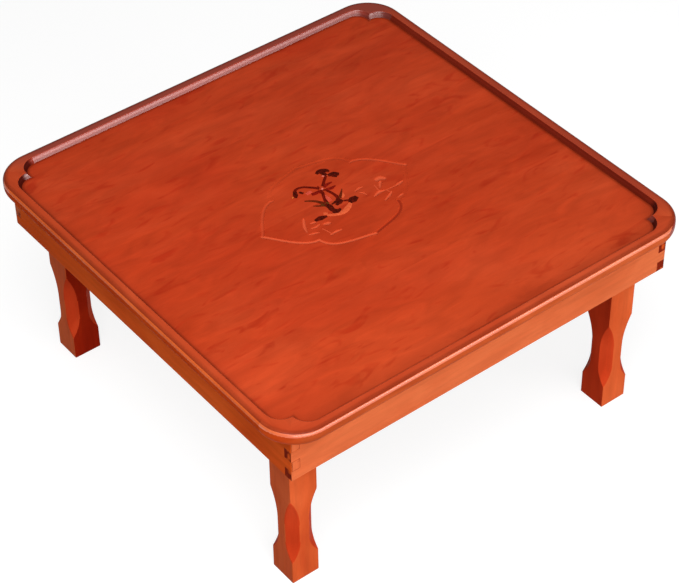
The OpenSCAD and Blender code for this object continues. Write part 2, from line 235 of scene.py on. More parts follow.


# the rails, walls and boards along X carry a touch more polish than those along Y; their tones differ too, as
# painted light and shade
lacquer = {
    "tray": {"dark": (184, 58, 25), "middle": (193, 64, 30), "light": (201, 71, 36),
             "roughness": 0.26, "specular": 0.15, "ior": 1.25},
    # painted light and shade: the rim's top, round and side along X are painted paler, as lit, with painted
    # sheen on the round and side, than those along Y
    "rimTopX": {"dark": (175, 58, 27), "middle": (187, 69, 36), "light": (197, 79, 44),
                "roughness": 0.3, "specular": 0.2, "ior": 1.25},
    "rimTopY": {"dark": (170, 56, 25), "middle": (182, 66, 32), "light": (192, 76, 40),
                "roughness": 0.3, "specular": 0.2, "ior": 1.25},
    "rimRoundX": {"dark": (196, 84, 44), "middle": (206, 96, 54), "light": (214, 106, 62),
                  "roughness": 0.32, "specular": 0.85, "ior": 1.5},
    "rimRoundY": {"dark": (198, 80, 30), "middle": (210, 92, 38), "light": (218, 102, 46),
                  "roughness": 0.32, "specular": 0.3, "ior": 1.3},
    # painted shade: the outer round and side that face the far side are painted dark, as turned away from the
    # light
    "rimFar": {"dark": (112, 30, 14), "middle": (132, 38, 18), "light": (150, 48, 26),
               "roughness": 0.4, "specular": 0.3, "ior": 1.3},
    "rimSideX": {"dark": (158, 60, 24), "middle": (174, 75, 35), "light": (186, 85, 44),
                 "roughness": 0.45, "specular": 0.5, "ior": 1.06},
    "rimSideY": {"dark": (176, 52, 10), "middle": (190, 64, 16), "light": (200, 74, 22),
                 "roughness": 0.45, "specular": 0.5, "ior": 1.03},
    # painted shade: the tray's walls are painted far darker than the rim, as out of the light, those along Y
    # darkest; their feet darker again, as shade in the crease
    "trayWallX": {"dark": (128, 36, 16), "middle": (144, 44, 22), "light": (156, 52, 28),
                  "roughness": 0.3, "specular": 0.95, "ior": 1.5},
    "trayWallY": {"dark": (96, 22, 8), "middle": (110, 28, 11), "light": (122, 34, 14),
                  "roughness": 0.3, "specular": 0.3, "ior": 1.3},
    "wallFootX": {"dark": (112, 28, 14), "middle": (124, 34, 17), "light": (136, 42, 22),
                  "roughness": 0.3, "specular": 0.75, "ior": 1.5},
    "wallFootY": {"dark": (92, 22, 8), "middle": (104, 27, 11), "light": (116, 33, 14),
                  "roughness": 0.3, "specular": 0.2, "ior": 1.25},
    # painted light and shade: the boards along X are painted paler, with painted sheen, and those along Y
    # deeper, as in shade
    "apronX": {"dark": (188, 85, 45), "middle": (199, 95, 54), "light": (208, 105, 62),
               "roughness": 0.45, "specular": 0.5, "ior": 1.06},
    "apronY": {"dark": (202, 74, 22), "middle": (214, 84, 28), "light": (222, 94, 36),
               "roughness": 0.45, "specular": 0.5, "ior": 1.03},
    "leg": {"dark": (178, 66, 30), "middle": (194, 80, 38), "light": (206, 92, 48),
            "roughness": 0.45, "specular": 0.5, "ior": 1.06},
    "legChamfer": {"dark": (170, 46, 18), "middle": (186, 56, 25), "light": (198, 66, 32),
                   "roughness": 0.45, "specular": 0.5, "ior": 1.04},
    # partly painted shade: the leg faces turned in under the table are painted darker, partly as shade under
    # the top and partly as a deeper stain, those facing along Y darkest
    "legInsideX": {"dark": (158, 38, 14), "middle": (174, 47, 19), "light": (186, 56, 26),
                   "roughness": 0.5, "specular": 0.5, "ior": 1.05},
    "legInsideY": {"dark": (120, 20, 5), "middle": (134, 26, 7), "light": (148, 34, 10),
                   "roughness": 0.5, "specular": 0.5, "ior": 1.05},
}

# how the lacquer lies on every piece; a span is the stretch of the noise over which a tone changes
coat = {
    "clouds": {"scale": 7.0, "stretch": 2.2, "detail": 4.0, "distortion": 0.6, "turn": 0.12},
    "cloudPlaces": {"dark": 0.3, "middle": 0.5, "light": 0.7},
    "streaks": {"scale": 9.0, "stretch": 14.0, "detail": 5.0, "distortion": 0.3, "turn": 0.06},
    "streakSpan": (0.35, 0.6),
    "streakDepth": 0.12,
    "pores": {"scale": 60.0, "stretch": 24.0, "detail": 2.0},
    "poreSpan": (0.3, 0.5),
    "poreShade": 0.93,
    "glossSpan": (0.3, 0.7),
    "moreGloss": 0.03,
    "lessGloss": 0.04,
    "bump": 0.06,
    "bumpHeight": 0.15 * mm,
}

# the bare wood of the underside
timber = {
    "stops": [(0.3, (158, 118, 76)), (0.55, (188, 148, 100)), (0.8, (204, 168, 122))],
    "streaks": {"scale": 14.0, "stretch": 12.0, "detail": 6.0, "distortion": 0.8},
    "pores": {"scale": 90.0, "stretch": 20.0},
    "poreSpan": (0.35, 0.5),
    "poreShade": 0.86,
    "roughness": 0.7,
    "specular": 0.25,
    "bump": 0.3,
    "bumpHeight": 0.2 * mm,
}


def startLacquer(name, look):
    return startMaterial(name, look["roughness"], look["specular"], ior=look["ior"])


def lacquerTones(tree, look, place, axis, streakDepth=coat["streakDepth"]):
    clouds = grainNoise(tree, place, axis, **coat["clouds"])
    colour = ramp(tree, clouds, [(at, look[tone]) for tone, at in coat["cloudPlaces"].items()])
    streaks = grainNoise(tree, place, axis, **coat["streaks"])
    pores = grainNoise(tree, place, axis, **coat["pores"])
    shade = calculate(tree, "MULTIPLY", mapRange(tree, streaks, *coat["streakSpan"], 1 - streakDepth, 1.0),
                      mapRange(tree, pores, *coat["poreSpan"], coat["poreShade"], 1.0))
    return scaleColour(tree, colour, shade), clouds, pores


def finishLacquer(tree, shader, look, colour, clouds, pores, bump=coat["bump"]):
    tree.links.new(colour, shader.inputs["Base Color"])
    gloss = mapRange(tree, clouds, *coat["glossSpan"],
                     look["roughness"] - coat["moreGloss"], look["roughness"] + coat["lessGloss"])
    tree.links.new(gloss, shader.inputs["Roughness"])
    addBump(tree, shader, pores, bump, coat["bumpHeight"])


def lacqueredWood(name, look, axis):
    material, tree, shader = startLacquer(name, look)
    colour, clouds, pores = lacquerTones(tree, look, objectPlace(tree), axis)
    finishLacquer(tree, shader, look, colour, clouds, pores)
    return material


def plainWood(name, axis):
    material, tree, shader = startMaterial(name, timber["roughness"], timber["specular"])
    place = objectPlace(tree)
    colour = ramp(tree, grainNoise(tree, place, axis, **timber["streaks"]), timber["stops"])
    pores = grainNoise(tree, place, axis, **timber["pores"])
    shade = mapRange(tree, pores, *timber["poreSpan"], timber["poreShade"], 1.0)
    tree.links.new(scaleColour(tree, colour, shade), shader.inputs["Base Color"])
    addBump(tree, shader, pores, timber["bump"], timber["bumpHeight"])
    return material


grained = {
    "apronX": lacqueredWood("apronLacquerX", lacquer["apronX"], "x"),
    "apronY": lacqueredWood("apronLacquerY", lacquer["apronY"], "y"),
    "woodX": plainWood("plainWoodX", "x"),
    "woodY": plainWood("plainWoodY", "y"),
}
print("lacquers and woods ready")


rim = {
    "mitreMerge": 0.02 * mm,  # neighbouring rails meet in a joint that is lacquered over
    "mitreReach": 0.003 * mm,  # how near the diagonal the end of a rail lies
    "mitreSlope": 0.01,
    "cornerCentre": 251 * mm,
    "cornerRadius": 49 * mm,
    "trayFloor": 281 * mm,
    "wallSplit": 283.8 * mm,  # the wall and its foot part at this height
    "lobesFrom": 243 * mm,  # the hollows lie beyond this on both axes
    "ridge": 9 * mm,  # the ridge between the two lobes of a corner is this near the diagonal
    # how far a face's normal points up, or to the far side, where one zone gives way to another
    "slopes": {"wall": 0.85, "top": 0.78, "far": 0.3, "round": 0.05},
    "blend": 24 * mm,  # on either side of the diagonal, where one look runs into the next
    # painted shade: the outer edge of the rim's top, and the back rail with part of the right, are painted
    # darker
    "outerShade": (0.36, 0.52),  # on the rails along X and along Y
    "shadedFrom": (1.5 * mm, 8 * mm),  # in from the outer edge, where the shade begins to lift and is gone
    "shadedRail": (142, 61, 48),
    "shadedRailShares": (0.4, 1.0),  # on the right and on the back rail
    "shadedRailFrom": (240 * mm, 262 * mm),  # out from the middle of the table
    "shadedRailEnds": (5 * mm, 60 * mm),  # x and y add up to this where the dark of these rails ends
    "hollow": (279.8 * mm, 258.8 * mm, 0),  # deepest place of a hollow, further axis first
    "hollowShade": (60, 9, 3),
    "hollowShare": 0.95,
    "hollowReach": (8 * mm, 15 * mm),  # away from its deepest place, where the painted shade thins and ends
    "topBump": 0.04,
}

rimZones = ("rimTop", "rimRound", "rimSide", "rimFar", "trayWall", "wallFoot")
wallZones = ("trayWall", "wallFoot")


def darkenTop(tree, place, colour, onSide):
    # painted shade: two rails are painted darker, and all of them darker towards the outer edge
    x, y, _, _ = splitPlace(tree, place)
    darkest = calculate(tree, "MAXIMUM", *[mapRange(tree, side, *rim["shadedRailFrom"], 0.0, share)
                                           for side, share in zip((x, y), rim["shadedRailShares"])])
    inside = mapRange(tree, calculate(tree, "ADD", x, y), *rim["shadedRailEnds"])
    colour = stainOrLightOver(tree, calculate(tree, "MULTIPLY", darkest, inside), colour, rim["shadedRail"])
    fromOutside = edgeDistance(tree, place, rim["cornerCentre"], rim["cornerCentre"], rim["cornerRadius"])
    outer = mapRange(tree, onSide, 0.0, 1.0, *rim["outerShade"])
    return scaleColour(tree, colour, mapRange(tree, fromOutside, *rim["shadedFrom"], outer, 1.0))


def darkenHollows(tree, place, colour):
    # painted shade: the middle of each hollow is painted near black, in the two corners where x and y differ
    # in sign
    x, y, xSize, ySize = splitPlace(tree, place)
    ordered = addNode(tree, "ShaderNodeCombineXYZ", {
        "X": calculate(tree, "MAXIMUM", xSize, ySize), "Y": calculate(tree, "MINIMUM", xSize, ySize)})
    away = addNode(tree, "ShaderNodeVectorMath", {0: ordered.outputs[0], 1: rim["hollow"]},
                   operation="DISTANCE").outputs["Value"]
    differ = calculate(tree, "LESS_THAN", calculate(tree, "MULTIPLY", x, y))
    near = mapRange(tree, away, *rim["hollowReach"], rim["hollowShare"], 0.0)
    return stainOrLightOver(tree, calculate(tree, "MULTIPLY", near, differ), colour, rim["hollowShade"])


def rimLacquer(zone, axis):
    # the finish of one zone; where two looks are given, one runs into the other round the corners
    looks = [lacquer[key] for key in (zone, zone + "X", zone + "Y") if key in lacquer]
    look = looks[-1] if axis == "y" else looks[0]
    material, tree, shader = startLacquer(zone + "Lacquer" + axis.upper(), look)
    place = objectPlace(tree)
    colour, clouds, pores = lacquerTones(tree, looks[0], place, axis)
    if len(looks) > 1:
        _, _, xSize, ySize = splitPlace(tree, place)
        onSide = mapRange(tree, calculate(tree, "SUBTRACT", xSize, ySize), -rim["blend"], rim["blend"])
        colour = mixColour(tree, onSide, colour, lacquerTones(tree, looks[1], place, axis)[0])
    if zone == "rimTop":
        colour = darkenTop(tree, place, colour, onSide)
    if zone in wallZones:
        colour = darkenHollows(tree, place, colour)
    bump = rim["topBump"] if zone == "rimTop" else 0.0
    finishLacquer(tree, shader, look, colour, clouds, pores, bump)
    return material


def rimZone(face):
    normal, middle, slopes = face.normal, face.calc_center_median(), rim["slopes"]
    facesIn = normal.x * middle.x + normal.y * middle.y < 0
    if facesIn and normal.z < slopes["wall"] and middle.z > rim["trayFloor"]:
        return "trayWall" if middle.z > rim["wallSplit"] else "wallFoot"
    if normal.z > slopes["top"]:
        return "rimTop"
    if max(normal.x, normal.y) > slopes["far"]:
        return "rimFar"
    return "rimRound" if normal.z > slopes["round"] else "rimSide"


def isMitre(face):
    # the end of a rail, which lies upright on a diagonal of the table
    diagonal = abs(abs(face.normal.x) - abs(face.normal.y)) < rim["mitreSlope"]
    upright = abs(face.normal.z) < rim["mitreSlope"]
    reached = all(abs(abs(v.co.x) - abs(v.co.y)) < rim["mitreReach"] for v in face.verts)
    return diagonal and upright and reached


def makeRim():
    rails = ["rim_left", "rim_back", "rim_right", "rim_front"]
    bm = mergedCopy(*rails)
    bmesh.ops.delete(bm, geom=[face for face in bm.faces if isMitre(face)], context="FACES")
    bmesh.ops.remove_doubles(bm, verts=bm.verts, dist=rim["mitreMerge"])
    bmesh.ops.holes_fill(bm, edges=[edge for edge in bm.edges if edge.is_boundary], sides=0)
    smoothByAngle(bm)
    walls = [face for face in bm.faces if rimZone(face) in wallZones]
    cutFaces(bm, walls, (0, 0, rim["wallSplit"]), (0, 0, 1))
    for face in bm.faces:
        zone, middle = rimZone(face), face.calc_center_median()
        alongY = abs(middle.x) > abs(middle.y)
        if min(abs(middle.x), abs(middle.y)) > rim["lobesFrom"]:
            # the polish of the front runs on round the corners, but not into the hollows painted dark as
            # shade
            ridge = abs(abs(middle.x) - abs(middle.y)) < rim["ridge"]
            alongY = zone in wallZones and middle.x * middle.y < 0 and not ridge
        face.material_index = 2 * rimZones.index(zone) + alongY
    materials = [rimLacquer(zone, axis) for zone in rimZones for axis in ("x", "y")]
    piece = addPiece("rim", bm, materials, "table", rails)
    weights = piece.modifiers.new("flatFacesStayFlat", "WEIGHTED_NORMAL")
    weights.keep_sharp = True


makeRim()
print("rim done")


# the carving of the field: lengths in millimetres, places from the middle of the table
carving = {
    "centre": (-2.4, -3.1),  # the middle of the medallion, from which its lines and flowers are placed
    "patch": (226, 166),  # the part of the field that carries the carving
    "patchMargin": 0.1,
    "top": 0.1,  # how near the highest point a face of the field lies
    "upwards": 0.9,  # how far the normals of the field and of the underside point up and down
    "downwards": -0.5,
    "cuts": 130,  # the first makes the patch a grid, the next refines it near the carving
    "fineCuts": 3,
    "lineWidth": 4.4,
    "lineDepth": 0.55,
    "linePoints": 200,
    "gougeDepth": 0.7,
    # painted highlight: the gouges are painted lighter, as their walls catch the light
    "gougeStep": 0.4,
    "gougeHighlight": 0.8,
    "fullDepthFrom": 2,  # half the width of a cut, under which it is shallower
    "widestReach": 5,  # more than half the width of any cut
    "knobs": [(108, 0), (-108, 0), (0, -78)],  # small round ends at the points of the line
    "knobRadius": 2.6,
    "around": 1.6,  # how far the fine grid goes on beside a cut
}

# a quarter of the scalloped line as two curves with their handles
scallops = [
    [(108, 0), (98, 11), (81, 46), (59, 46)],
    [(59, 46), (56, 71), (24, 70.5), (0, 78)],
]

# painted light and shade in each quarter of the line, from -1 for painted shade to 1 for painted highlight,
# as light falls on its walls, and what wear has left of its depth, first in the outer curve and then in the
# inner one
quarters = {
    (-1, -1): [(0.85, 1.0), (0.8, 1.0)],
    (1, -1): [(0.1, 0.3), (-0.75, 0.8)],
    (1, 1): [(0.45, 0.9), (0.15, 0.45)],
    (-1, 1): [(0.35, 0.85), (0.1, 0.35)],
}

# gouge cuts: points along the cut, then the widths at those points
gouges = [
    ([(63, -1), (68, -1), (72, -5)], (7, 9, 6)),
    ([(64, -7), (60, -11), (57, -15)], (4, 4, 3)),
    ([(41, -24), (50, -21.5), (58, -23)], (2, 6, 2)),
    ([(58, -23), (66, -23.6), (74, -24)], (1.6, 2, 2)),
    ([(74, -24), (80, -23.4), (85, -22.6)], (2, 5.5, 3)),
    ([(63, -30), (57, -33.4), (47, -37.6)], (1.6, 4.4, 2.4)),
    ([(62, -43), (67, -42), (71, -41.5)], (1.5, 3.4, 1.5)),
    ([(29, -2), (35, -0.6), (41, -1)], (1.4, 3.6, 1.6)),
    ([(32, -7), (35, -11), (36, -16)], (1.4, 3, 1.6)),
    ([(60, -24), (61, -28), (63, -30)], (1.4, 1.6, 1.4)),
    ([(54, -8), (53, -15), (52, -21)], (1.2, 1.6, 1.4)),
    ([(-51, -5), (-55, -11), (-59, -18), (-62, -26)], (3.6, 4.4, 5, 2)),
    ([(-63, -31), (-57, -33), (-51, -35)], (2, 4, 2)),
    ([(-49, -16), (-45, -17), (-41, -18)], (2, 4.6, 2)),
    ([(-54, -24), (-48, -25), (-42, -24)], (2, 4, 2)),
    ([(-37, -27), (-33, -28.4), (-30, -29)], (4, 7, 3)),
    ([(-43, -47), (-35, -46.4), (-27, -47.4)], (2, 5, 2)),
    ([(-44, -32), (-42, -39), (-41, -45)], (1.4, 1.8, 1.4)),
]


def strokePoints(points, widths):
    # places along a smooth stroke, each with its half width
    spots = []
    last = len(points) - 1
    for i in range(last):
        here, there = Vector(points[i]), Vector(points[i + 1])
        before, after = Vector(points[max(i - 1, 0)]), Vector(points[min(i + 2, last)])
        bends = [here, here + (there - before) / 6, there - (after - here) / 6, there]
        steps = max(2, math.ceil((there - here).length / carving["gougeStep"])) + 1
        for k, spot in enumerate(interpolate_bezier(*[bend.to_3d() for bend in bends], steps)):
            share = k / (steps - 1)
            spots.append((spot, (widths[i] * (1 - share) + widths[i + 1] * share) / 2))
    return spots


def scallopPoints():
    # places along the whole line, each with the tone and depth of its quarter
    spots = []
    for i, curve in enumerate(scallops):
        quarter = interpolate_bezier(*[Vector(point).to_3d() for point in curve], carving["linePoints"])
        for (across, along), left in quarters.items():
            spots += [(Vector((p.x * across, p.y * along, 0)), left[i]) for p in quarter]
    return spots


def treeOf(spots):
    tree = KDTree(len(spots))
    for i, (spot, _) in enumerate(spots):
        tree.insert(spot, i)
    tree.balance()
    return tree


line = scallopPoints()
cuts = [spot for points, widths in gouges for spot in strokePoints(points, widths)]
cuts += [(Vector((*knob, 0)), carving["knobRadius"]) for knob in carving["knobs"]]
lineTree, cutTree = treeOf(line), treeOf(cuts)


def carveDepth(place):
    # depth of the carving at a place on the field, and the painted light and shade on it
    depth, tone = 0.0, 0.0
    half = carving["lineWidth"] / 2
    _, index, distance = lineTree.find(place)
    if distance < half:
        share = 1 - (distance / half) ** 2
        quarterShading, quarterDepth = line[index][1]
        depth, tone = quarterDepth * carving["lineDepth"] * share, quarterShading * share
    for _, index, distance in cutTree.find_range(place, carving["widestReach"]):
        reach = cuts[index][1]
        if distance < reach:
            share = 1 - (distance / reach) ** 2
            narrow = min(1, reach / carving["fullDepthFrom"])
            depth = max(depth, carving["gougeDepth"] * narrow * share)
            tone = max(tone, share * carving["gougeHighlight"])
    return depth, tone


def nearCarving(place):
    # whether the fine grid reaches this place
    around = carving["around"]
    found = cutTree.find_range(place, carving["widestReach"] + around)
    if any(distance < cuts[index][1] + around for _, index, distance in found):
        return True
    return lineTree.find(place)[2] < carving["lineWidth"] / 2 + around


def fromMedallion(point):
    # a point of the mesh as a place in millimetres from the middle of the medallion
    return Vector((point.x / mm, point.y / mm, 0)) - Vector((*carving["centre"], 0))


def inPatch(point, margin=0.0):
    centre, patch = carving["centre"], carving["patch"]
    return all(abs(point[i] - centre[i] * mm) < patch[i] * mm / 2 + margin * mm for i in (0, 1))


def topFaces(bm, top):
    lowest = top - carving["top"] * mm
    return [face for face in bm.faces
            if face.normal.z > carving["upwards"] and face.calc_center_median().z > lowest]


def makePanel():
    bm = mergedCopy("top_panel")
    top = max(v.co.z for v in bm.verts)
    centre = [value * mm for value in carving["centre"]]
    halves = [size * mm / 2 for size in carving["patch"]]
    cutRectangle(bm, topFaces(bm, top), centre, halves)
    margin = carving["patchMargin"]
    patch = [face for face in topFaces(bm, top) if all(inPatch(v.co, margin) for v in face.verts)]
    if len(patch) > 1:
        patch = bmesh.ops.dissolve_faces(bm, faces=patch)["region"]
    bmesh.ops.subdivide_edges(bm, edges=patch[0].edges, cuts=carving["cuts"], use_grid_fill=True)
    fine = {}
    for face in topFaces(bm, top):
        middle = face.calc_center_median()
        if inPatch(middle) and nearCarving(fromMedallion(middle)):
            fine.update(dict.fromkeys(face.edges))
    bmesh.ops.subdivide_edges(bm, edges=list(fine), cuts=carving["fineCuts"], use_grid_fill=True)
    smoothByAngle(bm)  # while the field is flat, so that no edge of a cut is left sharp
    carveShading = bm.verts.layers.float.new("carveShading")
    for v in bm.verts:
        if v.co.z > top - carving["top"] * mm and inPatch(v.co, -margin):
            depth, v[carveShading] = carveDepth(fromMedallion(v.co))
            v.co.z -= depth * mm
    for face in bm.faces:
        face.material_index = 1 if face.normal.z < carving["downwards"] else 0  # plain wood below
    addPiece("trayPanel", bm, [trayLacquer(), grained["woodX"]], "table", ["top_panel"])


# the tones of the field, with painted light and shade; a share is how far a laid colour covers the lacquer
# where it lies thickest
field = {
    "boardWidth": 157 * mm,  # the panel is glued up from boards
    "firstSeam": 5.6 * mm,
    "boardShift": 3.0,  # the most, in metres, that a board's grain is moved along
    "boardTones": (0.95, 1.03),
    "streakDepth": 0.07,
    "clouds": {"scale": 5.0, "stretch": 1.4, "detail": 2.0, "distortion": 0.5},
    "cloudSpan": (0.42, 0.66),
    "cloudShare": 0.4,
    "cloudStain": (176, 44, 20),
    "figure": {"scale": 13.0, "stretch": 2.6, "detail": 3.0, "distortion": 1.8},
    "figureSpan": (0.3, 0.7),
    "figureDepth": 0.13,
    "flecks": {"scale": 22.0, "stretch": 3.0, "detail": 1.5, "distortion": 1.2},
    "fleckSpan": (0.58, 0.74),
    "fleckShare": 0.6,
    "fleckStain": (170, 40, 16),
    "frontLightFrom": (-90 * mm, -260 * mm),  # painted light: the front is painted a little lighter, where more light falls
    "frontLightShare": 0.35,
    "frontLight": (212, 82, 42),
    "lobeCentre": (265 * mm, 244 * mm),
    "lobeRadius": 18 * mm,
    "footShade": (0.5 * mm, 4 * mm, 0.56, 1.0),  # from and to where, and the shades there
    "wideFootShade": (2 * mm, 10 * mm, 0.92, 1.0),
    "carvedSpan": (0.1, 0.9),
    "carveHighlight": (214, 88, 54),
    "carveShade": (140, 34, 14),
}


def boardPlace(tree, place):
    # each board has its own stretch of the grain, and a tone of its own
    _, y, _, _ = splitPlace(tree, place)
    fromSeam = calculate(tree, "SUBTRACT", y, field["firstSeam"])
    board = calculate(tree, "FLOOR", calculate(tree, "DIVIDE", fromSeam, field["boardWidth"]))
    chance = addNode(tree, "ShaderNodeTexWhiteNoise", {"W": board}, noise_dimensions="1D").outputs["Value"]
    along = calculate(tree, "MULTIPLY", chance, field["boardShift"])
    shift = addNode(tree, "ShaderNodeCombineXYZ", {"X": along}).outputs[0]
    moved = addNode(tree, "ShaderNodeVectorMath", {0: place, 1: shift}, operation="ADD").outputs[0]
    return moved, mapRange(tree, chance, 0.0, 1.0, *field["boardTones"])


def trayLacquer():
    look = lacquer["tray"]
    material, tree, shader = startLacquer("trayLacquer", look)
    place = objectPlace(tree)
    moved, boardTone = boardPlace(tree, place)
    colour, clouds, pores = lacquerTones(tree, look, moved, "x", field["streakDepth"])
    clouded = grainNoise(tree, place, "x", **field["clouds"])
    amount = mapRange(tree, clouded, *field["cloudSpan"], 0.0, field["cloudShare"])
    colour = stainOrLightOver(tree, amount, colour, field["cloudStain"])
    amount = mapRange(tree, splitPlace(tree, place)[1], *field["frontLightFrom"], 0.0, field["frontLightShare"])
    colour = stainOrLightOver(tree, amount, colour, field["frontLight"])
    flecks = grainNoise(tree, moved, "x", **field["flecks"])
    amount = mapRange(tree, flecks, *field["fleckSpan"], 0.0, field["fleckShare"])
    colour = stainOrLightOver(tree, amount, colour, field["fleckStain"])
    depth = field["figureDepth"]
    figure = grainNoise(tree, moved, "x", **field["figure"])
    shade = mapRange(tree, figure, *field["figureSpan"], 1 - depth, 1.0 + depth / 3)
    colour = scaleColour(tree, colour, calculate(tree, "MULTIPLY", shade, boardTone))
    # painted shade along the foot of the tray's wall, in the crease
    fromWall = edgeDistance(tree, place, *field["lobeCentre"], field["lobeRadius"])
    footShading = calculate(tree, "MULTIPLY", mapRange(tree, fromWall, *field["footShade"]),
                         mapRange(tree, fromWall, *field["wideFootShade"]))
    colour = scaleColour(tree, colour, footShading)
    # and the carving is painted lighter or darker than the field, as painted highlight and shade on its walls
    carveShading = addNode(tree, "ShaderNodeAttribute", {}, attribute_name="carveShading").outputs["Fac"]
    start, end = field["carvedSpan"]
    colour = stainOrLightOver(tree, mapRange(tree, carveShading, start, end), colour, field["carveHighlight"])
    colour = stainOrLightOver(tree, mapRange(tree, carveShading, -start, -end), colour, field["carveShade"])
    finishLacquer(tree, shader, look, colour, clouds, pores)
    return material


makePanel()
print("panel carved")


spray = {
    "unit": 0.5 * mm,  # radius of a stroke that is a millimetre wide
    "layer": 0.6 * mm,  # how far each colour lies over the last, before they are flattened
    "flatness": 0.06,
    "roundness": 3,
    "steps": 8,  # between two points of a stroke
    "merge": 0.001 * mm,
    "sharp": 60,
    "roughness": 0.45,
    "ior": 1.08,
    "hairs": {"scale": 300.0, "stretch": 2.0},
    "hairPlaces": (0.35, 0.65),
}

# the two tones of each paint
sprayColours = {
    "ground": ((208, 82, 46), (220, 98, 58)),
    "ink": ((50, 11, 5), (98, 20, 8)),
    "stem": ((84, 14, 5), (118, 22, 9)),
    "leafRed": ((104, 14, 7), (142, 26, 14)),
    "leafDark": ((84, 24, 8), (112, 40, 14)),
    "olive": ((82, 42, 12), (108, 60, 22)),
    "blush": ((196, 66, 46), (206, 80, 60)),
    "pale": ((214, 96, 80), (228, 124, 104)),
    "ochre": ((196, 100, 40), (212, 118, 52)),
}

# brush strokes in millimetres from the middle of the medallion, in the order in which they were laid: points
# along the stroke, then the widths at those points
brushStrokes = {
    "ground": [
        ([(-24, -16), (-16, -21), (-5, -23.4), (5, -19.6), (13, -14.5)], (3, 5, 7, 7, 3)),
        ([(-26, -11), (-22, -14)], (4.6, 4)),
        ([(16, 6), (13, 1), (10, -2)], (1.5, 4, 2)),
    ],
    "blush": [([(-3.6, 15), (-5, 8), (-5.4, 2)], (3, 6.4, 6)), ([(-20, 30), (-12, 31)], (5, 5))],
    "stem": [
        ([(19.7, 43), (11.9, 36.7), (5, 29.8)], (3.8, 3.6, 4.6)),
        ([(-1, 29), (-8.8, 37.6), (-17.5, 44.3), (-24.4, 44.9), (-28.7, 41.9)], (4.6, 3.8, 3.4, 3.6, 4.4)),
        ([(-1.9, 22), (-7.1, 11.7), (-11.4, 0.4)], (3.6, 4.4, 5.6)),
        ([(3.3, 23), (5.9, 9.9), (5.9, -0.4)], (3.8, 4.2, 5.2)),
        ([(-6, 21), (-1, 24.5), (4, 21.6)], (2.6, 3.6, 2.6)),
        ([(-1, 30.5), (0.2, 34.4)], (3, 1)),
        ([(7.6, -7.3), (13.6, -10.8)], (3, 4)),
    ],
    "leafRed": [
        ([(-15.4, 25.4), (-8.8, 24.6), (-2.8, 25.5)], (5, 5.2, 3)),
        ([(4.5, 27), (11, 29.3), (18.4, 29.3)], (3, 4.4, 2)),
        ([(4.5, 23), (10.2, 20.6), (17.4, 21.6)], (3, 5, 2)),
    ],
    "leafDark": [
        ([(-29.6, 21.2), (-21.8, 15.1), (-16.6, 8.2), (-14, 0.4)], (2, 3.6, 4.6, 6)),
        ([(-27, 7.3), (-20.9, 3), (-14.9, -0.4)], (1.4, 3.2, 4)),
        ([(19.7, 11.7), (12.8, 4.8), (6.7, -0.4)], (1, 3, 4.4)),
    ],
    "olive": [([(-17.4, 4.6), (-13.4, -1), (-9.8, 3)], (3, 6, 3))],
    "ink": [
        ([(12.8, 53), (18.8, 54.6), (25.7, 51.4), (28.3, 47.4)], (4, 7, 7, 3)),
        ([(19.7, 53.2), (20.6, 43.6)], (7.4, 4.6)),
        ([(22.3, 42), (29.2, 40), (34.4, 35.9)], (4.6, 9, 5)),
        ([(28, 39.5), (30.9, 34.4)], (9, 6)),
        ([(-27.8, 42.8), (-31.3, 36.7), (-34, 32.2)], (4.4, 6.4, 3)),
        ([(-24.4, 38.5), (-21.8, 33.5)], (3.4, 3.6)),
        ([(-14, 1), (-12.3, -5.6), (-13.1, -12.5), (-8.8, -18.4)], (6, 7.4, 7, 5)),
        ([(-8, -4), (-2, -3), (4, -1)], (2, 3.4, 3)),
        ([(-16.4, -16.4), (-10.6, -18.6), (-4.5, -16.4)], (3, 5.4, 3)),
        ([(-4.4, -8.6), (1.5, -6), (7, -4.7)], (3, 8, 5.6)),
        ([(4, 1), (3.2, -7)], (4.6, 7)),
        ([(11.2, -14.6), (17.1, -12.7), (24.4, -11.4)], (5, 11, 6)),
        ([(-42, -15.6), (-34, -15.8), (-25.8, -17.8)], (4, 8, 3)),
    ],
    "pale": [([(0.4, 27.4), (2, 25.4)], (3.6, 3.6)), ([(16, 46), (17.4, 43.6)], (2, 2.4))],
    "ochre": [([(-37.6, 35.5), (-35.6, 34.5)], (2.4, 2.4))],
}


def paint(name, tones):
    material, tree, shader = startMaterial(name, spray["roughness"], ior=spray["ior"])
    hairs = grainNoise(tree, objectPlace(tree), "y", **spray["hairs"])
    colour = ramp(tree, hairs, list(zip(spray["hairPlaces"], tones)))
    tree.links.new(colour, shader.inputs["Base Color"])
    return material


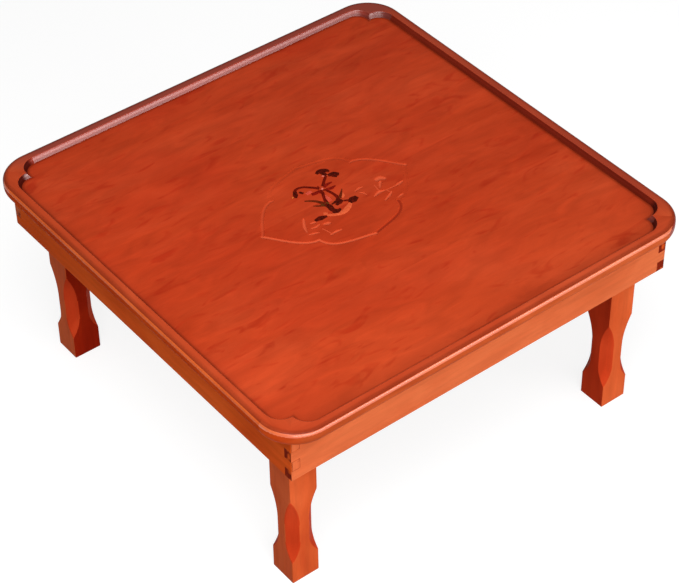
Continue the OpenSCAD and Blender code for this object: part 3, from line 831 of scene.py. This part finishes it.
def makeSpray():
    strokes = bpy.data.curves.new("sprayStrokes", "CURVE")
    strokes.dimensions = "3D"
    strokes.bevel_depth = spray["unit"]
    strokes.bevel_resolution = spray["roundness"]
    strokes.resolution_u = spray["steps"]
    strokes.use_fill_caps = True
    left, front = carving["centre"]
    for index, colour in enumerate(brushStrokes):
        strokes.materials.append(paint("paint" + colour[0].upper() + colour[1:], sprayColours[colour]))
        for points, widths in brushStrokes[colour]:
            spline = strokes.splines.new("BEZIER")
            spline.bezier_points.add(len(points) - 1)
            spline.material_index = index
            for knot, (x, y), width in zip(spline.bezier_points, points, widths):
                knot.co = ((x + left) * mm, (y + front) * mm, index * spray["layer"])
                knot.radius = width
                knot.handle_left_type = knot.handle_right_type = "AUTO"
    drawing = addObject("sprayStrokes", strokes)
    bpy.context.view_layer.update()
    drawn = bpy.data.meshes.new_from_object(drawing.evaluated_get(bpy.context.evaluated_depsgraph_get()))
    bpy.data.objects.remove(drawing)
    bm = bmesh.new()
    bm.from_mesh(drawn)
    bmesh.ops.remove_doubles(bm, verts=bm.verts, dist=spray["merge"])
    for v in bm.verts:
        v.co.z = v.co.z * spray["flatness"] + rim["trayFloor"]
    bmesh.ops.recalc_face_normals(bm, faces=bm.faces)
    smoothByAngle(bm, spray["sharp"])
    addPiece("paintedSpray", bm, list(drawn.materials), "table")


makeSpray()
print("spray painted")


apron = {
    "edge": 0.3 * mm,
    "edgeSegments": 1,
    "fingerReach": 262 * mm,  # the fingers' ends lie beyond this
    "endwards": 0.9,
    "bottom": 207 * mm,
    "fingerHeight": 14.75 * mm,
    "jointLine": 0.6 * mm,
    # the look under the stain and the share that the stain covers, for the ends and the line round them
    "ends": {
        "darkEndGrain": ("apronY", 0.85),
        "lightEndGrain": ("apronX", 0.0),
        "jointLine": ("apronY", 1.0),
    },
    "tint": (116, 31, 15),
    "blotches": {"scale": 80.0, "stretch": 1.0, "detail": 2.0, "distortion": 0.4},
    "stainFrom": 0.4,
    "stainSpread": 0.2,
    "stainEdge": 0.09,
}


def endGrainLacquer(name, look, share):
    # the stain sinks into the end grain in blotches
    material, tree, shader = startLacquer(name, look)
    place = objectPlace(tree)
    colour, clouds, pores = lacquerTones(tree, look, place, "z")
    blotches = grainNoise(tree, place, "x", **apron["blotches"])
    middle = apron["stainFrom"] + share * apron["stainSpread"]
    stained = mapRange(tree, blotches, middle - apron["stainEdge"], middle + apron["stainEdge"], 1.0, 0.0)
    colour = stainOrLightOver(tree, stained, colour, apron["tint"])
    finishLacquer(tree, shader, look, colour, clouds, pores)
    return material


endFinishes = [endGrainLacquer(name, lacquer[look], share) for name, (look, share) in apron["ends"].items()]


def makeApron(side):
    bm = mergedCopy("apron_" + side)
    run = 1 if side in ("left", "right") else 0
    ends = []
    for face in bm.faces:
        middle = face.calc_center_median()
        if abs(middle[run]) > apron["fingerReach"] and abs(face.normal[run]) > apron["endwards"]:
            finger = math.floor((middle.z - apron["bottom"]) / apron["fingerHeight"])
            face.material_index = 1 + finger % 2
            ends.append(face)
    outlines = bmesh.ops.inset_individual(bm, faces=ends, thickness=apron["jointLine"])["faces"]
    for face in outlines:
        face.material_index = 3
    smoothByAngle(bm)
    materials = [grained["apronY" if run else "apronX"]] + endFinishes
    piece = addPiece("apron_board_" + side, bm, materials, "table", ["apron_" + side])
    softenEdges(piece, apron["edge"], apron["edgeSegments"])


for side in ("left", "back", "right", "front"):
    makeApron(side)
print("aprons done")


leg = {
    "corners": ("front_left", "back_left", "back_right", "front_right"),
    "zones": ("leg", "legChamfer", "legInsideX", "legInsideY"),
    "edge": 1.4 * mm,
    "edgeSegments": 3,
    "sharp": 25,
    "inwards": 0.9,
    "chamferFrom": 0.3,  # how far a normal leans both ways on a chamfer
}

legFinishes = [lacqueredWood(zone + "Lacquer", lacquer[zone], "z") for zone in leg["zones"]]


def makeLeg(corner):
    bm = mergedCopy("leg_" + corner)
    smoothByAngle(bm, leg["sharp"])
    centre = sum((v.co for v in bm.verts), Vector()) / len(bm.verts)
    for face in bm.faces:
        # partly painted shade: the faces turned to the middle of the table are painted darker, partly as
        # shade under the top and partly as a deeper stain, and the chamfers redder
        inwards = [-face.normal[axis] * math.copysign(1, centre[axis]) for axis in (0, 1)]
        if max(inwards) > leg["inwards"]:
            face.material_index = 2 + inwards.index(max(inwards))
        elif min(abs(value) for value in inwards) > leg["chamferFrom"]:
            face.material_index = 1
    piece = addPiece("folding_leg_" + corner, bm, legFinishes, "folding_leg_" + corner,
                     ["leg_" + corner])
    softenEdges(piece, leg["edge"], leg["edgeSegments"])


for corner in leg["corners"]:
    makeLeg(corner)
print("legs done")


metal = {
    "patches": {"scale": 70.0, "stretch": 1.0},
    "patchPlaces": (0.35, 0.65),
    "glossSpan": (0.3, 0.7),
    "moreGloss": 0.08,
    "lessGloss": 0.1,
}


def steel(name, dark, light, roughness):
    material, tree, shader = startMaterial(name, roughness, metallic=1.0)
    patches = grainNoise(tree, objectPlace(tree), "x", **metal["patches"])
    colour = ramp(tree, patches, list(zip(metal["patchPlaces"], (dark, light))))
    tree.links.new(colour, shader.inputs["Base Color"])
    gloss = mapRange(tree, patches, *metal["glossSpan"],
                     roughness - metal["moreGloss"], roughness + metal["lessGloss"])
    tree.links.new(gloss, shader.inputs["Roughness"])
    return material


zinc = steel("zincPlate", (148, 150, 152), (186, 188, 190), 0.38)
rivet = steel("rivetSteel", (120, 118, 114), (158, 156, 150), 0.3)
screwSteel = steel("screwSteel", (140, 140, 142), (176, 176, 178), 0.32)

# how the names of the parts begin, their finish, its slot and how far their edges are broken
hardware = {
    "hinge_bracket": (zinc, "zinc_steel", 0.3 * mm),
    "pivot_pin": (rivet, "rivet_steel", 0.3 * mm),
    "pivot_washers": (rivet, "rivet_steel", 0.15 * mm),
    "mounting_block": (grained["woodY"], "plain_wood", 0.6 * mm),
    "batten_left": (grained["woodY"], "plain_wood", 1.0 * mm),
    "batten_right": (grained["woodY"], "plain_wood", 1.0 * mm),
    "glue_blocks": (grained["woodY"], "plain_wood", 0.5 * mm),
}

# the cross in a screw's head
recess = {
    "headDown": -0.99,  # the flat of a head looks down, and has more than this area
    "headArea": 20 * mm * mm,
    "reach": 1.9 * mm,  # half the length and half the width of the cross
    "half": 0.4 * mm,
    "depth": 1.1 * mm,
    "narrowing": 0.55,
}


def cutRecess(bm, head):
    centre = head.calc_center_median()
    radius = max((v.co - centre).length for v in head.verts)
    bmesh.ops.inset_individual(bm, faces=[head], thickness=radius - recess["reach"])
    cross = []
    for face in cutRectangle(bm, [head], centre, (recess["half"], recess["half"])):
        away = face.calc_center_median() - centre
        if min(abs(away.x), abs(away.y)) < recess["half"]:
            cross.append(face)
    sunk = bmesh.ops.extrude_face_region(bm, geom=cross)["geom"]
    bmesh.ops.delete(bm, geom=cross, context="FACES")
    bottom = [part for part in sunk if isinstance(part, bmesh.types.BMVert)]
    bmesh.ops.translate(bm, verts=bottom, vec=(0, 0, recess["depth"]))
    bmesh.ops.scale(bm, verts=bottom, vec=(recess["narrowing"], recess["narrowing"], 1),
                    space=Matrix.Translation(-centre))


for nodeName, node in nodes.items():
    for start, (finish, slotName, edge) in hardware.items():
        if nodeName.startswith(start):
            bm = mergedCopy(nodeName)
            smoothByAngle(bm)
            piece = addPiece(nodeName + "_finished", bm, [finish], node["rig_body"], [nodeName])
            softenEdges(piece, edge, 2)
    if nodeName.endswith("screws"):
        bm = mergedCopy(nodeName)
        heads = [face for face in bm.faces
                 if face.normal.z < recess["headDown"] and face.calc_area() > recess["headArea"]]
        for head in heads:
            cutRecess(bm, head)
        smoothByAngle(bm)
        addPiece(nodeName + "_finished", bm, [screwSteel], node["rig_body"], [nodeName])
print("hinges and underside finished")


stage = {
    "floorRadius": 60.0,
    "floorSides": 96,
    "floorColour": (0.3, 0.3, 0.3, 1),
    "floorRoughness": 0.9,
    "shownWhite": 0.8,  # what the floor adds for the camera
}

world = {"level": 0.24}

softboxes = {
    # azimuth from -Y towards +X and height above the horizon in degrees, distance and size in metres
    "window": {"azimuth": -6, "height": 15, "distance": 3.0, "size": (5.8, 0.85), "power": 118},
    "ceiling": {"azimuth": -42, "height": 60, "distance": 1.65, "size": (1.2, 1.2), "power": 22},
}

softboxAim = Vector((0, 0, 0.2))  # what both look at

camera = {
    "lens": 117.43,
    "sensor": 36.0,
    "azimuth": -37.6,
    "height": 41.97,
    "roll": -0.85,
    "place": (-1.24344, -1.62072, 1.96506),
    "seesTo": 150,
}


def makeStage():
    bm = bmesh.new()
    bmesh.ops.create_circle(bm, cap_ends=True, segments=stage["floorSides"], radius=stage["floorRadius"])
    mesh = bpy.data.meshes.new("floor")
    bm.to_mesh(mesh)
    bm.free()
    material, tree, shader = startMaterial("studioFloor", stage["floorRoughness"], specular=0.0)
    shader.inputs["Base Color"].default_value = stage["floorColour"]
    rays = addNode(tree, "ShaderNodeLightPath", {})
    seen = rays.outputs["Is Camera Ray"]
    for kind in ("Is Glossy Ray", "Is Transmission Ray"):
        seen = calculate(tree, "MAXIMUM", seen, rays.outputs[kind])
    shader.inputs["Emission Color"].default_value = (1, 1, 1, 1)
    tree.links.new(calculate(tree, "MULTIPLY", seen, stage["shownWhite"]), shader.inputs["Emission Strength"])
    mesh.materials.append(material)
    addObject("floor", mesh)


def makeWorld():
    scene.world = bpy.data.worlds.new("studio")
    scene.world.use_nodes = True
    background = scene.world.node_tree.nodes["Background"]
    background.inputs["Color"].default_value = (1, 1, 1, 1)
    background.inputs["Strength"].default_value = world["level"]


def makeSoftbox(name, look):
    azimuth, height = math.radians(look["azimuth"]), math.radians(look["height"])
    towards = Vector((math.sin(azimuth) * math.cos(height), -math.cos(azimuth) * math.cos(height),
                      math.sin(height)))
    light = bpy.data.lights.new(name, "AREA")
    light.shape = "RECTANGLE"
    light.size, light.size_y = look["size"]
    light.energy = look["power"]
    lamp = addObject(name, light)
    lamp.location = towards * look["distance"] + softboxAim
    lamp.rotation_euler = towards.to_track_quat("Z", "Y").to_euler()
    lamp.visible_camera = False


def makeCamera():
    lens = bpy.data.cameras.new("camera")
    lens.lens = camera["lens"]
    lens.sensor_width = camera["sensor"]
    lens.sensor_fit = "HORIZONTAL"
    lens.clip_end = camera["seesTo"]
    turn = Matrix.Rotation(math.radians(camera["azimuth"]), 4, "Z")
    tilt = Matrix.Rotation(math.radians(90 - camera["height"]), 4, "X")
    roll = Matrix.Rotation(math.radians(camera["roll"]), 4, "Z")
    view = addObject("camera", lens)
    view.matrix_world = Matrix.Translation(camera["place"]) @ turn @ tilt @ roll
    scene.camera = view


makeStage()
makeWorld()
for name, look in softboxes.items():
    makeSoftbox(name, look)
makeCamera()
print("stage, lights and camera ready")
